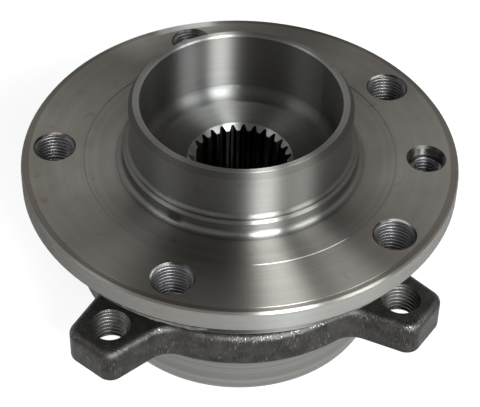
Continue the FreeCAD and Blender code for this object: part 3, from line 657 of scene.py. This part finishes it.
def makeThreadTree():
    tree = bpy.data.node_groups.new("threadSleeve", "GeometryNodeTree")
    face = tree.interface
    face.new_socket("Geometry", in_out="INPUT", socket_type="NodeSocketGeometry")
    for label in ("Outer Radius", "Crest Radius", "Pitch", "Top", "Bottom", "Shift"):
        face.new_socket(label, in_out="INPUT", socket_type="NodeSocketFloat")
    face.new_socket("Turns", in_out="INPUT", socket_type="NodeSocketInt")
    face.new_socket("Material", in_out="INPUT", socket_type="NodeSocketMaterial")
    face.new_socket("Geometry", in_out="OUTPUT", socket_type="NodeSocketGeometry")
    given = addNode(tree, "NodeGroupInput").outputs
    result = addNode(tree, "NodeGroupOutput").inputs
    outer, crest, pitch = given["Outer Radius"], given["Crest Radius"], given["Pitch"]
    top, bottom, turns = given["Top"], given["Bottom"], given["Turns"]
    steps = threadSteps["round"]

    def sheet(columns, rows):
        grid = addNode(tree, "GeometryNodeMeshGrid")
        grid.inputs["Size X"].default_value = 1.0
        grid.inputs["Size Y"].default_value = 1.0
        feed(tree, grid.inputs["Vertices X"], columns)
        feed(tree, grid.inputs["Vertices Y"], rows)
        place = addNode(tree, "ShaderNodeSeparateXYZ")
        feed(tree, place.inputs[0], addNode(tree, "GeometryNodeInputPosition").outputs[0])
        across = calc(tree, "ADD", place.outputs[0], 0.5)
        up = calc(tree, "ADD", place.outputs[1], 0.5)
        return grid.outputs["Mesh"], across, up

    def wrapped(mesh, radius, turn, height):
        position = combine(tree, calc(tree, "MULTIPLY", radius, calc(tree, "COSINE", turn)),
                           calc(tree, "MULTIPLY", radius, calc(tree, "SINE", turn)), height)
        setPlace = addNode(tree, "GeometryNodeSetPosition")
        feed(tree, setPlace.inputs["Geometry"], mesh)
        feed(tree, setPlace.inputs["Position"], position)
        return setPlace.outputs[0]

    # the thread itself: one pitch of profile wound from below the hole to above it
    columns = calc(tree, "MULTIPLY_ADD", turns, float(steps), 1.0)
    mesh, across, phase = sheet(columns, threadSteps["profile"] + 1)
    wound = calc(tree, "MULTIPLY", across, turns)
    start = calc(tree, "SUBTRACT", bottom, calc(tree, "MULTIPLY", pitch,
                                               calc(tree, "ADD", 1.0, given["Shift"])))
    height = calc(tree, "MULTIPLY_ADD", pitch, calc(tree, "ADD", wound, phase), start)
    height = calc(tree, "MINIMUM", top, calc(tree, "MAXIMUM", bottom, height))
    away = calc(tree, "ABSOLUTE", calc(tree, "SUBTRACT", phase, 0.5))
    rise = calc(tree, "DIVIDE", calc(tree, "SUBTRACT", away, threadProfile["crestHalf"]),
                threadProfile["flank"], None, True)
    radius = calc(tree, "MULTIPLY_ADD", rise, calc(tree, "SUBTRACT", outer, crest), crest)
    # both ends of the thread are bevelled at 45 degrees
    leadIn = calc(tree, "SUBTRACT", outer, calc(tree, "SUBTRACT", top, height))
    leadOut = calc(tree, "SUBTRACT", outer, calc(tree, "SUBTRACT", height, bottom))
    radius = calc(tree, "MAXIMUM", radius, calc(tree, "MAXIMUM", leadIn, leadOut))
    radius = calc(tree, "MINIMUM", radius, outer)
    thread = wrapped(mesh, radius, calc(tree, "MULTIPLY", wound, math.tau), height)
    flip = addNode(tree, "GeometryNodeFlipFaces")
    feed(tree, flip.inputs["Mesh"], thread)

    # the plain wall that sits in the hole
    mesh, across, up = sheet(steps + 1, 2)
    wallHeight = calc(tree, "MULTIPLY_ADD", up, calc(tree, "SUBTRACT", top, bottom), bottom)
    wall = wrapped(mesh, outer, calc(tree, "MULTIPLY", across, math.tau), wallHeight)

    join = addNode(tree, "GeometryNodeJoinGeometry")
    tree.links.new(flip.outputs[0], join.inputs[0])
    tree.links.new(wall, join.inputs[0])
    merge = addNode(tree, "GeometryNodeMergeByDistance")
    feed(tree, merge.inputs["Geometry"], join.outputs[0])
    merge.inputs["Distance"].default_value = threadProfile["mergeWithin"]
    instances = addNode(tree, "GeometryNodeInstanceOnPoints")
    feed(tree, instances.inputs["Points"], given["Geometry"])
    feed(tree, instances.inputs["Instance"], merge.outputs[0])
    real = addNode(tree, "GeometryNodeRealizeInstances")
    feed(tree, real.inputs[0], instances.outputs[0])
    smooth = addNode(tree, "GeometryNodeSetShadeSmooth")
    feed(tree, smooth.inputs["Geometry"], real.outputs[0])
    finish = addNode(tree, "GeometryNodeSetMaterial")
    feed(tree, finish.inputs["Geometry"], smooth.outputs[0])
    feed(tree, finish.inputs["Material"], given["Material"])
    feed(tree, result["Geometry"], finish.outputs[0])
    return tree


threadTree = makeThreadTree()


def makeFromTree(name, tree, points, inputs):
    # the tree works on a mesh of bare points; its result is kept as a plain mesh
    base = bpy.data.meshes.new(name + "Points")
    base.from_pydata([Vector(p) * mm for p in points], [], [])
    piece = bpy.data.objects.new(name, base)
    scene.collection.objects.link(piece)
    modifier = piece.modifiers.new("build", "NODES")
    modifier.node_group = tree
    for item in tree.interface.items_tree:
        if item.item_type == "SOCKET" and item.in_out == "INPUT" and item.name in inputs:
            modifier[item.identifier] = inputs[item.name]
    bpy.context.view_layer.update()
    shaped = piece.evaluated_get(bpy.context.evaluated_depsgraph_get())
    mesh = bpy.data.meshes.new_from_object(shaped)
    piece.modifiers.remove(modifier)
    piece.data = mesh
    bpy.data.meshes.remove(base)
    return piece


def makeThreads(name, sizes, points, material, body):
    inputs = {
        "Outer Radius": sizes["outer"] * mm, "Crest Radius": sizes["crest"] * mm,
        "Pitch": sizes["pitch"] * mm, "Top": sizes["top"] * mm, "Bottom": sizes["bottom"] * mm,
        "Shift": sizes["shift"], "Material": material,
        "Turns": math.ceil((sizes["top"] - sizes["bottom"]) / sizes["pitch"]) + 2,
    }
    piece = makeFromTree(name, threadTree, points, inputs)
    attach(piece, body)
    return piece


def onCircle(radius, degrees):
    turn = math.radians(degrees)
    return (radius * math.cos(turn), radius * math.sin(turn), 0)


boltStep = 360 / wheelBolts["count"]
boltPoints = [onCircle(wheelBolts["circle"], wheelBolts["turn"] + number * boltStep)
              for number in range(wheelBolts["count"])]
makeThreads("wheelBoltThreads", wheelBolts, boltPoints, wheelThreadSteel, "hub_unit")
makeThreads("discScrewThread", discScrew, [onCircle(discScrew["circle"], discScrew["turn"])],
            wheelThreadSteel, "hub_unit")
knucklePoints = [(sideX * knuckleBolts["acrossX"], sideY * knuckleBolts["acrossY"], 0)
                 for sideX in (1, -1) for sideY in (1, -1)]
makeThreads("knuckleBoltThreads", knuckleBolts, knucklePoints, knuckleThreadSteel,
            "outer_ring_unit")
print("threads done")


# torn strip of metal that the turning left along part of the flange's lower edge

# radii, heights and lengths in mm, from and to in degrees
burrStrip = {
    "inner": 65.2,
    "outer": 65.72,
    "from": -128.0,
    "to": -105.5,
    "top": -7.05,
    "hang": 1.35,
    "tear": 0.7,
    "root": 0.15,
    "leastHang": 0.05,
    "startShare": 0.3,  # how much of its full hang the strip has where it starts
    "lean": 0.25,
    "endTaper": 7,  # each end fades over one part in this many
    "smoothOver": 3,
    "smoothShare": 0.6,
    "steps": 90,
    "seed": 5,
}


def makeBurrStrip(sizes):
    chance = random.Random(sizes["seed"])
    steps = sizes["steps"]
    rough = [chance.random() for number in range(steps + 1)]
    corners, faces = [], []
    for number in range(steps + 1):
        share = number / steps
        turn = math.radians(sizes["from"] + share * (sizes["to"] - sizes["from"]))
        near = rough[max(0, number - sizes["smoothOver"]):number + sizes["smoothOver"] + 1]
        smooth = sizes["smoothShare"]
        tear = smooth * sum(near) / len(near) + (1 - smooth) * rough[number]
        taper = min(1.0, sizes["endTaper"] * share, sizes["endTaper"] * (1 - share))
        grown = sizes["startShare"] + (1 - sizes["startShare"]) * share
        hang = (sizes["hang"] * grown + (tear - 0.5) * 2 * sizes["tear"]) * taper
        low = sizes["top"] - sizes["root"] - max(hang, sizes["leastHang"])
        lean = sizes["lean"] * rough[number] * taper
        for radius, height in ((sizes["inner"], sizes["top"]), (sizes["outer"], sizes["top"]),
                               (sizes["outer"] - lean, low), (sizes["inner"] - lean, low)):
            corners.append((radius * math.cos(turn) * mm, radius * math.sin(turn) * mm,
                            height * mm))
    for number in range(steps):
        here, there = 4 * number, 4 * number + 4
        for side in range(4):
            other = (side + 1) % 4
            faces.append((here + side, there + side, there + other, here + other))
    faces.append((0, 1, 2, 3))
    faces.append(tuple(4 * steps + side for side in (3, 2, 1, 0)))
    mesh = bpy.data.meshes.new("burrStrip")
    mesh.from_pydata(corners, [], faces)
    mesh.materials.append(burrSteel)
    piece = bpy.data.objects.new("burrStrip", mesh)
    scene.collection.objects.link(piece)
    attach(piece, "hub_unit")


makeBurrStrip(burrStrip)
print("burr done")


# floor, world and lamps

studio = {
    "floorHeight": -61.55 * mm,
    "floorSize": 6.0,
    "floorColour": (0.9, 0.9, 0.9),
    "floorGlow": 0.85,
    "glowNear": 0.2,
    "glowFar": 0.7,
    "ambient": 0.6,
    "whiteBelow": 0.62,
    "darkAbove": 0.86,
    "ceiling": 0.06,
    "lampColour": (0.93, 0.98, 1.0),
}
# azimuth counts from the camera's; turns in degrees, sizes in metres, power in watts
softboxes = {
    "mainSoftbox": dict(azimuth=24, elevation=30, distance=1.4, width=0.46, height=0.7, power=60),
    "rightSoftbox": dict(azimuth=60, elevation=30, distance=1.4, width=0.5, height=0.6, power=18),
    "leftSoftbox": dict(azimuth=-76, elevation=42, distance=1.4, width=0.5, height=0.6, power=3),
}


def seenRay(tree):
    # 1 for what is seen directly, in a shiny surface or through glass
    path = addNode(tree, "ShaderNodeLightPath").outputs
    either = calc(tree, "MAXIMUM", path["Is Camera Ray"], path["Is Glossy Ray"])
    return calc(tree, "MAXIMUM", either, path["Is Transmission Ray"])


def makeWorld(values):
    world = bpy.data.worlds.new("whiteStudio")
    world.use_nodes = True
    tree = world.node_tree
    tree.nodes.clear()
    background = addNode(tree, "ShaderNodeBackground")
    background.inputs["Color"].default_value = (1, 1, 1, 1)
    # white all round, darker overhead where the studio's ceiling is
    toward = addNode(tree, "ShaderNodeSeparateXYZ")
    feed(tree, toward.inputs[0], addNode(tree, "ShaderNodeTexCoord").outputs["Generated"])
    overhead = spread(tree, toward.outputs[2], values["whiteBelow"], values["darkAbove"],
                      1.0, values["ceiling"])
    camera = addNode(tree, "ShaderNodeLightPath").outputs["Is Camera Ray"]
    shown = mixValue(tree, camera, overhead, 1.0)
    feed(tree, background.inputs["Strength"],
         mixValue(tree, seenRay(tree), values["ambient"], shown))
    output = addNode(tree, "ShaderNodeOutputWorld")
    tree.links.new(background.outputs[0], output.inputs["Surface"])
    scene.world = world


def makeFloor(values):
    half = values["floorSize"] / 2
    z = values["floorHeight"]
    mesh = bpy.data.meshes.new("paleFloor")
    mesh.from_pydata([(-half, -half, z), (half, -half, z), (half, half, z), (-half, half, z)],
                     [], [(0, 1, 2, 3)])
    floor = bpy.data.objects.new("paleFloor", mesh)
    scene.collection.objects.link(floor)
    material = bpy.data.materials.new("paleFloor")
    material.use_nodes = True
    tree = material.node_tree
    tree.nodes.clear()
    diffuse = addNode(tree, "ShaderNodeBsdfDiffuse")
    diffuse.inputs["Color"].default_value = (*values["floorColour"], 1)
    glow = addNode(tree, "ShaderNodeEmission")
    glow.inputs["Color"].default_value = (1, 1, 1, 1)
    # the floor fades to the white of the background, and can be seen through from below
    away = addNode(tree, "ShaderNodeVectorMath", operation="LENGTH")
    feed(tree, away.inputs[0], addNode(tree, "ShaderNodeTexCoord").outputs["Object"])
    white = spread(tree, away.outputs["Value"], values["glowNear"], values["glowFar"],
                   values["floorGlow"], 1.0)
    lit = addNode(tree, "ShaderNodeMixShader")
    feed(tree, lit.inputs[0], calc(tree, "MULTIPLY", seenRay(tree), white))
    tree.links.new(diffuse.outputs[0], lit.inputs[1])
    tree.links.new(glow.outputs[0], lit.inputs[2])
    blend = addNode(tree, "ShaderNodeMixShader")
    feed(tree, blend.inputs[0], addNode(tree, "ShaderNodeNewGeometry").outputs["Backfacing"])
    tree.links.new(lit.outputs[0], blend.inputs[1])
    tree.links.new(addNode(tree, "ShaderNodeBsdfTransparent").outputs[0], blend.inputs[2])
    output = addNode(tree, "ShaderNodeOutputMaterial")
    tree.links.new(blend.outputs[0], output.inputs["Surface"])
    mesh.materials.append(material)


def makeSoftbox(name, box, colour):
    data = bpy.data.lights.new(name, "AREA")
    data.shape = "RECTANGLE"
    data.size, data.size_y = box["width"], box["height"]
    data.energy = box["power"]
    data.color = colour
    lamp = bpy.data.objects.new(name, data)
    scene.collection.objects.link(lamp)
    turn = math.radians(photoView["azimuth"] + box["azimuth"])
    lift = math.radians(box["elevation"])
    away = Vector((math.cos(lift) * math.cos(turn), math.cos(lift) * math.sin(turn),
                   math.sin(lift)))
    lamp.location = away * box["distance"]
    lamp.rotation_euler = away.to_track_quat("Z", "Y").to_euler()
    lamp.visible_camera = False


makeWorld(studio)
makeFloor(studio)
for name, box in softboxes.items():
    makeSoftbox(name, box, studio["lampColour"])
print("studio done")
